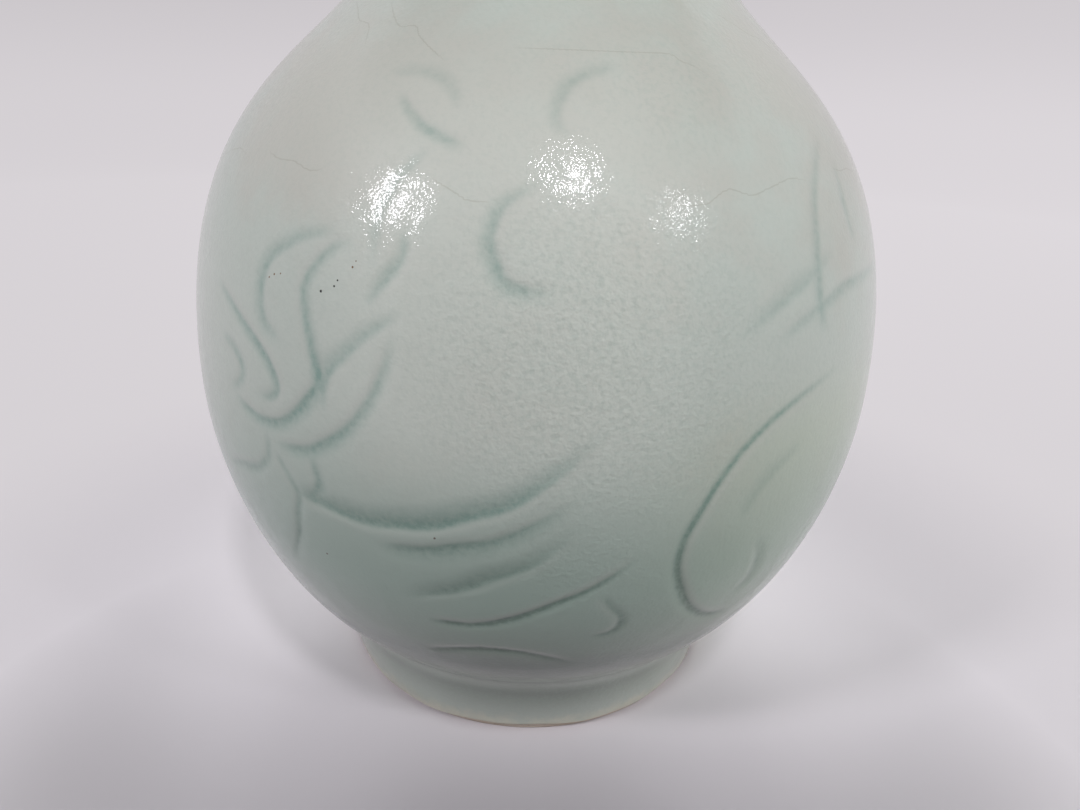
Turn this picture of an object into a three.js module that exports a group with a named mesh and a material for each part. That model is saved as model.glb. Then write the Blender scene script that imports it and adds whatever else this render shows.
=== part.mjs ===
import * as THREE from 'three';

// A thrown and carved pot with a foot ring, a round body and a flared neck, turned about Z.
// Sizes are in millimetres and degrees, and those of the outside are over the glaze.

// Overall
const totalHeight = 248;
const bellyRadius = 80;
const bellyHeight = 84;
const flats = 40;

// Foot ring
const footHeight = 18;
const footFlankRadius = 48.8;
const footFlankHollow = 0.6;
const footRollRadius = 53;
const footRollDrop = 1.5;
const creaseRadius = 52;
const footRestWidth = 7;
const restChamfer = 0.8;
const recessHeight = 9;
const recessRadius = 37;
const bareBand = 1.8;

// Body curves: the angle at which each leaves the horizontal, and how full it is at each end
const undersideAngle = 36.4;
const undersideFullness = 0.28;
const underBellyFullness = 0.366;
const overBellyFullness = 0.62;
const shoulderRadius = 39.7;
const shoulderHeight = 165;
const shoulderAngle = 52;
const shoulderFullness = 0.22;

// Neck and mouth
const waistRadius = 25;
const waistHeight = 195;
const mouthRadius = 35;
const flareAngle = 48;
const neckRootFullness = 0.42;
const waistFullness = 0.4;
const mouthFullness = 0.3;

// Walls, both glaze coats included
const wallAtFoot = 9;
const wallAtBelly = 6;
const wallAtWaist = 5;
const wallAtLip = 4.4;
const floorThickness = 8.5;
const floorCornerFullness = 0.35;
const floorCentreFullness = 0.45;

// Glaze coats, and the joints between the thrown pieces
const glazeThickness = 0.7;
const glazeGap = 0.1;
const glazeMeetingDrop = 9;
const slipThickness = 0.5;
const bossClearance = 0.3;
const neckSeamHeight = 172;

// Steps along each stretch of the outline
const flankSteps = 2;
const rollSteps = 2;
const undersideSteps = 5;
const oversideSteps = 7;
const neckRootSteps = 3;
const flareSteps = 4;
const lipSteps = 4;
const floorSteps = 4;

const { degToRad, mapLinear } = THREE.MathUtils;

function heading(angle) {
  const radians = degToRad(angle);
  return new THREE.Vector2(Math.cos(radians), Math.sin(radians));
}

function point(radius, height) {
  return new THREE.Vector2(radius, height);
}

// A curve that leaves the start and reaches the end along the headings given
function sweep(start, startHeading, startFullness, end, endHeading, endFullness) {
  const span = start.distanceTo(end);
  return new THREE.CubicBezierCurve(
    start,
    start.clone().addScaledVector(startHeading, startFullness * span),
    end.clone().addScaledVector(endHeading, -endFullness * span),
    end,
  );
}

// Moves an outline into the wall, which lies to its left, keeping its flats parallel
function inset(outline, depthAt) {
  const normals = outline.slice(1).map((end, i) => {
    const run = end.clone().sub(outline[i]).normalize();
    return point(-run.y, run.x);
  });
  return outline.map((vertex, i) => {
    const before = normals[Math.max(i - 1, 0)];
    const after = normals[Math.min(i, normals.length - 1)];
    const mitre = before.clone().add(after).normalize();
    if (vertex.x === 0) mitre.set(0, Math.sign(mitre.y));
    return vertex.clone().addScaledVector(mitre, depthAt(vertex) / mitre.dot(before));
  });
}

function radiusAt(rising, height) {
  const above = rising.findIndex((vertex) => vertex.y > height);
  const end = above < 0 ? rising.length - 1 : Math.max(above, 1);
  const [low, high] = [rising[end - 1], rising[end]];
  return mapLinear(height, low.y, high.y, low.x, high.x);
}

// The stretch of a rising outline between two heights
function between(rising, low, high) {
  return [
    point(radiusAt(rising, low), low),
    ...rising.filter((vertex) => vertex.y > low && vertex.y < high),
    point(radiusAt(rising, high), high),
  ];
}

function wallAt({ y: height }) {
  if (height < bellyHeight) {
    return mapLinear(height, footHeight, bellyHeight, wallAtFoot, wallAtBelly);
  }
  if (height < waistHeight) {
    return mapLinear(height, bellyHeight, waistHeight, wallAtBelly, wallAtWaist);
  }
  return mapLinear(height, waistHeight, totalHeight, wallAtWaist, wallAtLip);
}

// Glazed outside, from the table up to the lip
const up = heading(90);
const footRoll = point(footRollRadius, footHeight - footRollDrop);
const crease = point(creaseRadius, footHeight);
const belly = point(bellyRadius, bellyHeight);
const shoulder = point(shoulderRadius, shoulderHeight);
const waist = point(waistRadius, waistHeight);
const lipRadius = wallAtLip / 2;
const lipCentre = point(mouthRadius - lipRadius, totalHeight - lipRadius);
const lipStart = lipCentre.clone().addScaledVector(heading(flareAngle - 90), lipRadius);
const shoulderHeading = heading(180 - shoulderAngle);

const footFlank = new THREE.QuadraticBezierCurve(
  point(footFlankRadius, 0),
  point((footFlankRadius + footRollRadius) / 2 - 2 * footFlankHollow, footRoll.y / 2),
  footRoll,
);
const footRollOver = new THREE.QuadraticBezierCurve(
  footRoll,
  point(footRollRadius, footHeight - footRollDrop / 3),
  crease,
);
const underside = sweep(
  crease, heading(undersideAngle), undersideFullness, belly, up, underBellyFullness,
);
const overside = sweep(
  belly, up, overBellyFullness, shoulder, shoulderHeading, shoulderFullness,
);
const neckRoot = sweep(
  shoulder, shoulderHeading, neckRootFullness, waist, up, waistFullness,
);
const flare = sweep(
  waist, up, waistFullness, lipStart, heading(flareAngle), mouthFullness,
);

const foot = [
  ...footFlank.getPoints(flankSteps),
  ...footRollOver.getPoints(rollSteps).slice(1),
];
const wall = [
  ...underside.getPoints(undersideSteps).slice(1),
  ...overside.getPoints(oversideSteps).slice(1),
  ...neckRoot.getPoints(neckRootSteps).slice(1),
  ...flare.getPoints(flareSteps).slice(1),
];
const outside = [...foot, ...wall];

// Half round lip, then the inside down to the middle of the floor
const lip = [];
for (let step = 1; step <= lipSteps; step += 1) {
  const turn = flareAngle - 90 + (180 * step) / lipSteps;
  lip.push(lipCentre.clone().addScaledVector(heading(turn), lipRadius));
}
const insideWall = inset(outside, wallAt).slice(foot.length, -1).reverse();
const wallBase = insideWall.at(-1);
const floorMiddle = point(0, recessHeight + floorThickness);
const downTheWall = wallBase.clone().sub(insideWall.at(-2)).normalize();
const floor = sweep(
  wallBase, downTheWall, floorCornerFullness, floorMiddle, heading(180), floorCentreFullness,
);
const inside = [...insideWall, ...floor.getPoints(floorSteps).slice(1)];

// Glazed underside: the recess in the foot ring, from the middle out and down to the table
const recess = [
  point(0, recessHeight),
  point(recessRadius, recessHeight),
  point(footFlankRadius - footRestWidth, 0),
];

// Every surface at one depth below the glazed one, the inside read upwards
function surfacesAt(depth) {
  const section = inset([...outside, ...lip, ...inside], () => depth);
  const rims = outside.length + lip.length;
  return {
    outside: section.slice(0, outside.length),
    lip: section.slice(outside.length, rims),
    inside: section.slice(rims).reverse(),
    crease: section[foot.length - 1],
    recess: inset(recess, () => depth),
  };
}

const clay = surfacesAt(glazeThickness + glazeGap);
const glazeFace = surfacesAt(0);
const glazeBack = surfacesAt(glazeThickness);

function turned(name, outline, material) {
  const geometry = new THREE.LatheGeometry(outline, flats);
  geometry.rotateX(Math.PI / 2);
  const mesh = new THREE.Mesh(geometry, material);
  mesh.name = name;
  return mesh;
}

// A ring whose section is closed, from its outer side rising and its inner side rising
function ring(name, outer, inner, material) {
  const outline = [...outer, ...inner.slice().reverse()];
  return turned(name, [...outline, outline[0]], material);
}

function stoneware(colour) {
  return new THREE.MeshStandardMaterial({ color: colour, roughness: 0.85, metalness: 0 });
}

function celadon(colour) {
  return new THREE.MeshPhysicalMaterial({
    color: colour,
    roughness: 0.12,
    metalness: 0,
    clearcoat: 1,
    clearcoatRoughness: 0.08,
  });
}

// The body is luted to the foot ring level with the crease in the clay
const bodySeat = clay.crease.y;
const footSeat = bodySeat - slipThickness;
const wallTop = glazeFace.inside.at(-1).y;
const glazeMeeting = totalHeight - glazeMeetingDrop;

function footRing() {
  const restOuter = radiusAt(clay.outside, 0);
  const restInner = clay.recess.at(-1).x;
  const bore = clay.recess[1];
  const outline = [
    point(restOuter - restChamfer, 0),
    ...between(clay.outside, restChamfer, footSeat),
    point(bore.x, footSeat),
    bore,
    point(radiusAt([clay.recess.at(-1), bore], restChamfer), restChamfer),
    point(restInner + restChamfer, 0),
  ];
  return turned('foot_ring', [...outline, outline[0]], stoneware(0xb39a86));
}

function lowerBody() {
  const seam = bellyHeight - slipThickness / 2;
  const boss = clay.recess[1].x - bossClearance;
  const hollow = clay.inside.filter((vertex) => vertex.y < seam);
  const outline = [
    clay.recess[0],
    point(boss, clay.recess[0].y),
    point(boss, bodySeat),
    ...between(clay.outside, bodySeat, seam),
    point(radiusAt(clay.inside, seam), seam),
    ...hollow.reverse(),
  ];
  return turned('lower_body', outline, stoneware(0xc2b3a2));
}

function section(name, low, high, material) {
  const outer = between(clay.outside, low, high);
  const inner = between(clay.inside, low, high);
  return ring(name, outer, inner, material);
}

function neck() {
  const seat = neckSeamHeight + slipThickness / 2;
  const outer = clay.outside.filter((vertex) => vertex.y > seat);
  const inner = clay.inside.filter((vertex) => vertex.y > seat);
  return ring(
    'neck',
    [point(radiusAt(clay.outside, seat), seat), ...outer, ...clay.lip],
    [point(radiusAt(clay.inside, seat), seat), ...inner],
    stoneware(0xc2b3a2),
  );
}

function footSlip() {
  const bore = clay.recess[1].x;
  return ring(
    'foot_seam_slip',
    between(clay.outside, footSeat, bodySeat),
    [point(bore, footSeat), point(bore, bodySeat)],
    stoneware(0xcabdae),
  );
}

function slip(name, height) {
  const half = slipThickness / 2;
  return section(name, height - half, height + half, stoneware(0xcabdae));
}

// The outside coat rolls over the lip and meets the inside coat on a level edge in the mouth
function outerGlaze() {
  const face = [
    point(radiusAt(glazeFace.outside, bareBand), bareBand),
    ...glazeFace.outside.filter((vertex) => vertex.y > bareBand),
    ...glazeFace.lip,
    ...between(glazeFace.inside, glazeMeeting, wallTop).reverse().slice(1),
  ];
  const back = [
    point(radiusAt(glazeBack.outside, bareBand), bareBand),
    ...glazeBack.outside.filter((vertex) => vertex.y > bareBand),
    ...glazeBack.lip,
    ...glazeBack.inside.filter((vertex) => vertex.y > glazeMeeting).reverse(),
    point(radiusAt(glazeBack.inside, glazeMeeting), glazeMeeting),
  ];
  return ring('outer_glaze', face, back, celadon(0xb4beb5));
}

function innerGlaze() {
  const lining = (surface) => [
    ...surface.filter((vertex) => vertex.y < glazeMeeting),
    point(radiusAt(surface, glazeMeeting), glazeMeeting),
  ];
  const outline = [...lining(glazeBack.inside), ...lining(glazeFace.inside).reverse()];
  return turned('inner_glaze', outline, celadon(0xaebbb2));
}

function baseGlaze() {
  const [faceMiddle, faceCorner, faceEdge] = glazeFace.recess;
  const [backMiddle, backCorner, backEdge] = glazeBack.recess;
  const outline = [
    faceMiddle,
    faceCorner,
    point(radiusAt([faceEdge, faceCorner], bareBand), bareBand),
    point(radiusAt([backEdge, backCorner], bareBand), bareBand),
    backCorner,
    backMiddle,
  ];
  return turned('base_glaze', outline, celadon(0xaebbb2));
}

const group = new THREE.Group();
group.add(
  footRing(),
  footSlip(),
  lowerBody(),
  slip('belly_seam_slip', bellyHeight),
  section(
    'upper_body',
    bellyHeight + slipThickness / 2,
    neckSeamHeight - slipThickness / 2,
    stoneware(0xc2b3a2),
  ),
  slip('neck_seam_slip', neckSeamHeight),
  neck(),
  outerGlaze(),
  innerGlaze(),
  baseGlaze(),
);

export default group;
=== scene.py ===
"""A celadon bottle vase, carved with a flower scroll under its glaze, on a pale table."""

import math
from collections import namedtuple

import bpy
import numpy as np
from mathutils import Matrix, Vector


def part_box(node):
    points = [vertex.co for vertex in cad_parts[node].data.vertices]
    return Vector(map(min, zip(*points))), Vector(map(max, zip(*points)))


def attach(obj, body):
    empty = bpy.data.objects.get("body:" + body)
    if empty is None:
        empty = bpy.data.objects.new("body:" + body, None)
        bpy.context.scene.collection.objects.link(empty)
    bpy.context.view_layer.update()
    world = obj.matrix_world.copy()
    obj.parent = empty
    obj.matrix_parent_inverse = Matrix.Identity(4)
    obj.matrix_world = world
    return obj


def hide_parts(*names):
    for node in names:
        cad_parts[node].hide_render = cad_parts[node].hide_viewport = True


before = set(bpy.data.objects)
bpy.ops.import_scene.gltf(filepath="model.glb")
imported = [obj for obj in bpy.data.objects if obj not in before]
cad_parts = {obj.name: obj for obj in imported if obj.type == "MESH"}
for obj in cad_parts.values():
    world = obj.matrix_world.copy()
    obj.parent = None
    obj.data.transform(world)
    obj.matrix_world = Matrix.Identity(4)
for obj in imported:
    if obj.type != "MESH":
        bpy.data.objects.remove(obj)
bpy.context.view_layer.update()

MM = 0.001

# Outline of the glazed outside, in millimetres and degrees, with its main sizes from the frame
TOTAL_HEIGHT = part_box("outer_glaze")[1].z / MM
BELLY_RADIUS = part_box("outer_glaze")[1].x / MM
BELLY_HEIGHT = (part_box("belly_seam_slip")[0].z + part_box("belly_seam_slip")[1].z) / 2 / MM
BARE_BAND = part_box("outer_glaze")[0].z / MM
FOOT_HEIGHT = 18
FOOT_FLANK_RADIUS = 48.8
FOOT_FLANK_HOLLOW = 0.6
FOOT_ROLL_RADIUS = 53
FOOT_ROLL_DROP = 1.5
CREASE_RADIUS = 52
UNDERSIDE_ANGLE = 36.4
UNDERSIDE_FULLNESS = 0.28
UNDER_BELLY_FULLNESS = 0.366
OVER_BELLY_FULLNESS = 0.62
SHOULDER_RADIUS = 39.7
SHOULDER_HEIGHT = 165
SHOULDER_ANGLE = 52
SHOULDER_FULLNESS = 0.22
WAIST_RADIUS = 25
WAIST_HEIGHT = 195
MOUTH_RADIUS = 35
FLARE_ANGLE = 48
NECK_ROOT_FULLNESS = 0.42
WAIST_FULLNESS = 0.4
MOUTH_FULLNESS = 0.3

# Walls, the foot ring's underside and the glaze
WALL_AT_FOOT = 9
WALL_AT_BELLY = 6
WALL_AT_WAIST = 5
WALL_AT_LIP = 4.4
RECESS_HEIGHT = 9
RECESS_RADIUS = 37
FOOT_REST_WIDTH = 7
REST_CHAMFER = 0.8
FLOOR_THICKNESS = 8.5
FLOOR_CORNER_FULLNESS = 0.35
FLOOR_CENTRE_FULLNESS = 0.45
GLAZE_THICKNESS = 0.7
GLAZE_GAP = 0.1
COAT_DEPTH = GLAZE_THICKNESS + GLAZE_GAP
MEETING_DEPTH = 9
GLAZE_MEETING = TOTAL_HEIGHT - MEETING_DEPTH
MEETING_GAP = 0.02
SLIP_THICKNESS = 0.5
BOSS_CLEARANCE = 0.3
RECESS_CORNER = 1.4
CHAMFER_BOW = 0.2
RING_OVER_CHAMFER = 0.3
RING_UNDER_SLIP = 0.6
SEAT_CORNER = 0.4

# How the glaze eases the corner over the foot: length of outline that it fills, and how softly
FILLET_REACH = 18
FILLET_SPREAD = 5.5
FILLET_SAMPLES = 49

# Waves of the thrown wall: millimetres outwards, waves round the pot, radians for each millimetre up,
# and phase. They set in above the foot.
SWAY = [
    (0.10, 2, 0, 0.7),
    (0.07, 3, 1 / 31, 2),
    (0.04, 5, -1 / 17, 0),
]
SWAY_FULL = 50

# Waves of the glaze's lower edge: millimetres upwards, waves round the pot, and phase
WAVER = [
    (0.35, 3, 1),
    (0.25, 7, 2),
    (0.15, 17, 0),
]
WAVER_REACH = 6

# Spacing of the mesh that holds the carving
FRONT_HALF_ANGLE = 82
OUTLINE_STEP = 0.25
FRONT_SPACING = 0.5
BACK_SPACING = 0.8
CARVED_TOP = 168
NECK_SPACING = 1.2
INSIDE_STRIDE = 6
COAT_BACK_STRIDE = 8
FLANK_STRIDE = 4
PLAIN_FLATS = 192
SHARP_ANGLE = 50

# Where the camera stands, in millimetres from the middle of the foot, and its turns in degrees
CAMERA_PLACE = (0, -198.3, 151.6)
CAMERA_PITCH = 23.5
CAMERA_ROLL = 1.97
CAMERA_YAW = 0.46
FOCAL_PIXELS = 811
PHOTO_WIDTH = 1080
SENSOR_WIDTH = 36
CLIP_START = 10


def heading(degrees):
    """Unit step of radius and height, that many degrees up from straight outwards."""
    return np.array([math.cos(math.radians(degrees)), math.sin(math.radians(degrees))])


def curve(points, steps):
    """A Bezier curve on any number of control points, as rows of radius and height."""
    order = len(points) - 1
    t = np.linspace(0, 1, steps)[:, None]
    return sum(
        math.comb(order, k) * (1 - t) ** (order - k) * t ** k * np.array(p, float)
        for k, p in enumerate(points)
    )


def sweep(start, start_heading, start_fullness, end, end_heading, end_fullness, steps=240):
    """A curve that leaves the start and reaches the end along the headings given."""
    start, end = np.array(start, float), np.array(end, float)
    span = np.linalg.norm(end - start)
    leaving = start + start_heading * start_fullness * span
    arriving = end - end_heading * end_fullness * span
    return curve([start, leaving, arriving, end], steps)


def joined(*runs):
    """Runs of points one after another, without the repeated point where they meet."""
    points = np.concatenate(runs)
    keep = np.ones(len(points), bool)
    keep[1:] = np.linalg.norm(np.diff(points, axis=0), axis=1) > 1e-6
    return points[keep]


def normals_of(points):
    """Unit normals to the right of travel along an outline."""
    run = np.gradient(points, axis=0)
    run /= np.linalg.norm(run, axis=1)[:, None]
    return np.stack([run[:, 1], -run[:, 0]], axis=1)


def lengths_along(points):
    """Length of outline up to each point."""
    return np.concatenate([[0], np.cumsum(np.linalg.norm(np.diff(points, axis=0), axis=1))])


def smooth(x, low, high):
    """Rises from 0 to 1 between two values, level at both ends."""
    t = np.clip((x - low) / (high - low), 0, 1)
    return t * t * (3 - 2 * t)


UP = heading(90)
FOOT_ROLL = (FOOT_ROLL_RADIUS, FOOT_HEIGHT - FOOT_ROLL_DROP)
CREASE = (CREASE_RADIUS, FOOT_HEIGHT)
BELLY = (BELLY_RADIUS, BELLY_HEIGHT)
SHOULDER = (SHOULDER_RADIUS, SHOULDER_HEIGHT)
WAIST = (WAIST_RADIUS, WAIST_HEIGHT)
SHOULDER_HEADING = heading(180 - SHOULDER_ANGLE)
LIP_RADIUS = WALL_AT_LIP / 2
LIP_CENTRE = np.array([MOUTH_RADIUS - LIP_RADIUS, TOTAL_HEIGHT - LIP_RADIUS])
LIP_START = LIP_CENTRE + heading(FLARE_ANGLE - 90) * LIP_RADIUS

OUTSIDE = joined(
    curve([
        (FOOT_FLANK_RADIUS, 0),
        ((FOOT_FLANK_RADIUS + FOOT_ROLL_RADIUS) / 2 - 2 * FOOT_FLANK_HOLLOW, FOOT_ROLL[1] / 2),
        FOOT_ROLL,
    ], steps=80),
    curve([FOOT_ROLL, (FOOT_ROLL_RADIUS, FOOT_HEIGHT - FOOT_ROLL_DROP / 3), CREASE], steps=16),
    sweep(CREASE, heading(UNDERSIDE_ANGLE), UNDERSIDE_FULLNESS, BELLY, UP, UNDER_BELLY_FULLNESS),
    sweep(BELLY, UP, OVER_BELLY_FULLNESS, SHOULDER, SHOULDER_HEADING, SHOULDER_FULLNESS),
    sweep(SHOULDER, SHOULDER_HEADING, NECK_ROOT_FULLNESS, WAIST, UP, WAIST_FULLNESS),
    sweep(WAIST, UP, WAIST_FULLNESS, LIP_START, heading(FLARE_ANGLE), MOUTH_FULLNESS),
)


def interpolated(at, lengths, rows):
    """Rows of two numbers, known at some lengths along the outline, taken at others."""
    return np.stack([np.interp(at, lengths, rows[:, k]) for k in (0, 1)], axis=-1)


def filleted(points, height, reach, spread):
    """The outline at even steps, with its corner at a height eased, as the glaze fills it."""
    lengths = lengths_along(points)
    middle = np.interp(height, points[:, 1], lengths)
    even = np.linspace(0, lengths[-1], round(lengths[-1] / OUTLINE_STEP))
    sharp = interpolated(even, lengths, points)
    offsets = np.linspace(-2, 2, FILLET_SAMPLES) * spread
    weights = np.exp(-((offsets / spread) ** 2))
    weights /= weights.sum()
    eased = weights @ interpolated(even[:, None] + offsets, lengths, points)
    share = 1 - smooth(np.abs(even - middle), reach / 2, reach)
    return sharp + (eased - sharp) * share[:, None]


OUTSIDE = filleted(OUTSIDE, FOOT_HEIGHT, FILLET_REACH, FILLET_SPREAD)
OUTSIDE_LENGTHS = lengths_along(OUTSIDE)
OUTSIDE_NORMALS = normals_of(OUTSIDE)


def outside_at(length):
    """Radius and height of the outside at a length along it from the table."""
    return interpolated(length, OUTSIDE_LENGTHS, OUTSIDE)


def normal_at(length):
    """Unit normal of the outside, as its radius and height, at a length along it."""
    normal = interpolated(length, OUTSIDE_LENGTHS, OUTSIDE_NORMALS)
    return normal / np.linalg.norm(normal, axis=-1, keepdims=True)


def length_at(height):
    """Length along the outside at which it reaches a height."""
    return np.interp(height, OUTSIDE[:, 1], OUTSIDE_LENGTHS)


def wall_at(height):
    """Thickness of the wall, which thins from the foot to the lip."""
    heights = [FOOT_HEIGHT, BELLY_HEIGHT, WAIST_HEIGHT, TOTAL_HEIGHT]
    return np.interp(height, heights, [WALL_AT_FOOT, WALL_AT_BELLY, WALL_AT_WAIST, WALL_AT_LIP])


def lip_run(steps=24):
    """The half round lip, from outside to inside."""
    turns = FLARE_ANGLE - 90 + np.linspace(0, 180, steps)
    return np.array([LIP_CENTRE + heading(turn) * LIP_RADIUS for turn in turns])


def inside_run(depth):
    """The inside, that depth below its glazed face, from under the lip down to the axis."""
    above_foot = OUTSIDE[:, 1] > FOOT_HEIGHT
    shell = OUTSIDE - OUTSIDE_NORMALS * wall_at(OUTSIDE[:, 1])[:, None]
    wall = shell[above_foot][:-1][::-INSIDE_STRIDE]
    down = wall[-1] - wall[-2]
    floor = sweep(
        wall[-1], down / np.linalg.norm(down), FLOOR_CORNER_FULLNESS,
        (0, RECESS_HEIGHT + FLOOR_THICKNESS), heading(180), FLOOR_CENTRE_FULLNESS, steps=40,
    )
    face = joined(wall, floor)
    moved = face - normals_of(face) * depth
    moved[-1, 0] = 0
    return moved


def meeting_point(run):
    """Where a run down the inside passes the height at which the two coats of glaze meet."""
    return np.array([np.interp(-GLAZE_MEETING, -run[:, 1], run[:, 0]), GLAZE_MEETING])


def around(radius, height, angles):
    """Points on a circle, with angles in degrees from the front and positive to its right."""
    turn = np.radians(angles)
    return np.stack([radius * np.sin(turn), -radius * np.cos(turn), height + 0 * turn], axis=-1)


def rings_of(outline, angles):
    """Rings of points, one round the pot for each point of an outline."""
    radius, height = np.hsplit(np.asarray(outline), 2)
    return around(radius, height, angles)


def on_glaze(angle, height):
    """A place on the glazed outside, in metres."""
    return around(outside_at(length_at(height))[0], height, angle) * MM


# Carving. Places are degrees from the front and millimetres up. A cut is deepest along its line,
# with a steep side, and a long bevel on the side named as it is travelled. It is widest at a share
# of its length, and runs out over a share of it at each end.
Cut = namedtuple("Cut", "places side depth bevel fullest starts ends")


def cut(places, side, depth=0.9, bevel=3.0, fullest=0.5, starts=0.15, ends=0.2):
    return Cut(places, side, depth, bevel, fullest, starts, ends)


FLOWER = [
    cut([(-26, 124), (-32, 122), (-35, 120), (-38, 117), (-39, 112), (-38, 107), (-36, 105), (-33, 103)],
        "right", 0.65, 3.2, 0.6),
    cut([(-23, 122), (-26, 122), (-29, 119), (-31, 115), (-31, 112), (-30, 107), (-29, 103), (-28, 99),
         (-30, 95), (-32, 92), (-35, 89), (-39, 88), (-43, 89), (-46, 91)],
        "left", 0.95, 3.4, 0.6, 0.12, 0.12),
    cut([(-16, 113), (-21, 108), (-24, 104), (-26, 101), (-27, 97), (-27, 92)],
        "right", 0.7, 3.6, 0.75, 0.2, 0.25),
    cut([(-30, 106), (-27.8, 100), (-28.8, 94)], "right", 1.15, 2.4, 0.5, 0.4, 0.4),
    cut([(-17, 111), (-18, 105), (-19, 101), (-21, 96), (-24, 91), (-28, 87), (-31, 85), (-37, 84)],
        "left", 0.85, 3.2, 0.65, 0.25, 0.15),
    cut([(-52, 111), (-47, 108), (-44, 106), (-40, 103), (-37, 100), (-35, 96), (-36, 93), (-40, 92)],
        "right", 0.95, 2.6, 0.6, 0.2, 0.15),
    cut([(-49, 101), (-45, 99), (-43, 96), (-44, 93), (-47, 91)], "left", 0.65, 2.4, 0.5),
    cut([(-17, 126), (-17, 121), (-19, 117), (-22, 112)], "right", 0.6, 2.6, 0.5, 0.2, 0.3),
    cut([(-15, 137.5), (-17.3, 135.3), (-19.4, 132.4), (-20.8, 128), (-21.2, 124), (-21, 120), (-22, 117)],
        "right", 0.38, 2.0, 0.4, 0.2, 0.3),
]
CALYX = [
    cut([(-38, 87), (-38, 82), (-39, 79), (-42, 76), (-47, 74), (-53, 71)], "left", 0.65, 2.4, 0.5),
    cut([(-30, 85), (-29, 81), (-29, 78), (-32, 73)], "left", 0.75, 2.6, 0.5),
    cut([(-37, 83), (-34, 77), (-33, 74), (-34, 70), (-35, 65), (-37, 60), (-41, 52)],
        "left", 0.8, 2.0, 0.55, 0.1, 0.25),
]
SWEEPS = [
    cut([(-35, 75), (-28, 74), (-22, 73), (-16, 74), (-12, 75), (-7, 78), (-2, 81), (4, 88), (12, 99)],
        "left", 1.0, 6.0, 0.4, 0.1, 0.35),
    cut([(-21, 69), (-14, 70), (-9, 72), (-4, 74), (1, 78), (7, 84)], "right", 0.85, 4.6, 0.35, 0.15, 0.3),
    cut([(-19, 56), (-13, 59), (-9, 61), (-4, 65), (1, 69), (7, 78)], "left", 0.75, 5.0, 0.4, 0.25, 0.35),
    cut([(-15, 51), (-10, 51), (-6, 52), (-1, 55), (4, 59), (9, 63), (15, 70)],
        "right", 1.5, 2.0, 0.35, 0.1, 0.2),
    cut([(10, 61), (12, 57), (14, 53), (13, 49), (9, 48)], "left", 0.9, 1.8, 0.6),
    cut([(-17, 39), (-10, 42), (-5, 43), (1, 42), (10, 37)], "right", 1.5, 1.8, 0.4, 0.1, 0.25),
]
LEAF = [
    cut([(49, 100), (42, 98), (37, 96), (32, 93), (28, 89), (25, 84), (23, 79), (21, 72), (21, 65),
         (23, 58), (26, 52), (31, 47), (37, 45)], "right", 1.45, 2.3, 0.72, 0.25, 0.1),
    cut([(39, 87), (35, 84), (31, 79), (29, 73)], "right", 0.3, 4.0, 0.5),
    cut([(34, 68), (36, 61), (36, 55), (33, 51)], "left", 0.55, 4.0, 0.5),
]
SHOULDER_SCROLL = [
    cut([(2, 134), (-3, 131), (-5, 129), (-6, 125), (-5, 121), (-3, 118), (3, 117)],
        "right", 0.7, 3.0, 0.65, 0.35, 0.2),
    cut([(14, 150), (8, 149), (4, 147), (2, 144), (2, 141), (5, 139)], "right", 0.4, 2.8, 0.5, 0.2, 0.2),
    cut([(-24, 145), (-19, 141), (-15, 139), (-10, 137)], "right", 0.6, 2.0, 0.6, 0.2, 0.2),
    cut([(-28, 148), (-20, 148), (-15, 146), (-12, 142)], "left", 0.28, 3.0, 0.5, 0.2, 0.2),
]
STALKS = [
    cut([(54, 141), (47, 135), (43, 129), (41.5, 122), (41, 114), (42, 106)],
        "right", 0.5, 3.0, 0.8, 0.3, 0.12),
    cut([(66, 114), (56, 114), (48, 114), (42, 112), (37, 110), (30, 106)], "left", 0.5, 2.6, 0.5),
    cut([(46, 121), (37, 116), (30, 112), (24, 108)], "right", 0.4, 3.4, 0.5, 0.2, 0.3),
    cut([(53, 135), (52, 127), (53, 120)], "right", 0.35, 2.4, 0.5),
]
SCROLL = FLOWER + CALYX + SWEEPS + LEAF + SHOULDER_SCROLL + STALKS

# Each figure of the scroll, with the degrees that it is turned round the pot
FIGURES = [
    (SCROLL, 0),
    (SCROLL, 180),
    (LEAF + STALKS, 62),
    (LEAF, -118),
]

# Crazing lines in the glaze, as places on the pot
CRAZING = [
    [(-46, 134), (-42, 133), (-38, 133), (-34, 132), (-31, 133)],
    [(-15, 133), (-13, 132), (-11, 131), (-9, 130), (-6, 130)],
    [(16, 130), (22, 130), (26, 132), (30, 131), (34, 132), (39, 133), (44, 132)],
    [(-8, 152), (4, 152), (14, 152), (23, 152), (25, 151), (28, 150), (31, 148)],
    [(-56, 160), (-50, 158), (-45, 156), (-40, 155), (-36, 151)],
    [(-40, 160), (-35, 157), (-31, 155), (-27, 155), (-24, 153), (-16, 149)],
]
CRAZING_TURNS = [0, 97, 184, 265]
CRAZING_REACH = 3.0
CRAZING_FADE = 0.2

# Iron specks: place, radius in millimetres, and colour
BLACK = (0.012, 0.012, 0.012, 1)
RUST = (0.20, 0.12, 0.05, 1)
UMBER = (0.17, 0.15, 0.12, 1)
SPECKS = [
    ((-28, 114), 0.30, BLACK),
    ((-26, 115.2), 0.24, BLACK),
    ((-25.6, 116.2), 0.22, BLACK),
    ((-37.6, 114.2), 0.26, RUST),
    ((-36.6, 114.9), 0.22, RUST),
    ((-35.4, 115.3), 0.20, RUST),
    ((-23.6, 118.6), 0.22, RUST),
    ((-23.2, 119.6), 0.18, RUST),
    ((-12, 73), 0.28, UMBER),
    ((-30, 61.8), 0.28, UMBER),
    ((171, 121), 0.28, BLACK),
    ((148, 88), 0.26, RUST),
    ((-104, 102), 0.26, UMBER),
    ((86, 131), 0.24, BLACK),
]


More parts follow.
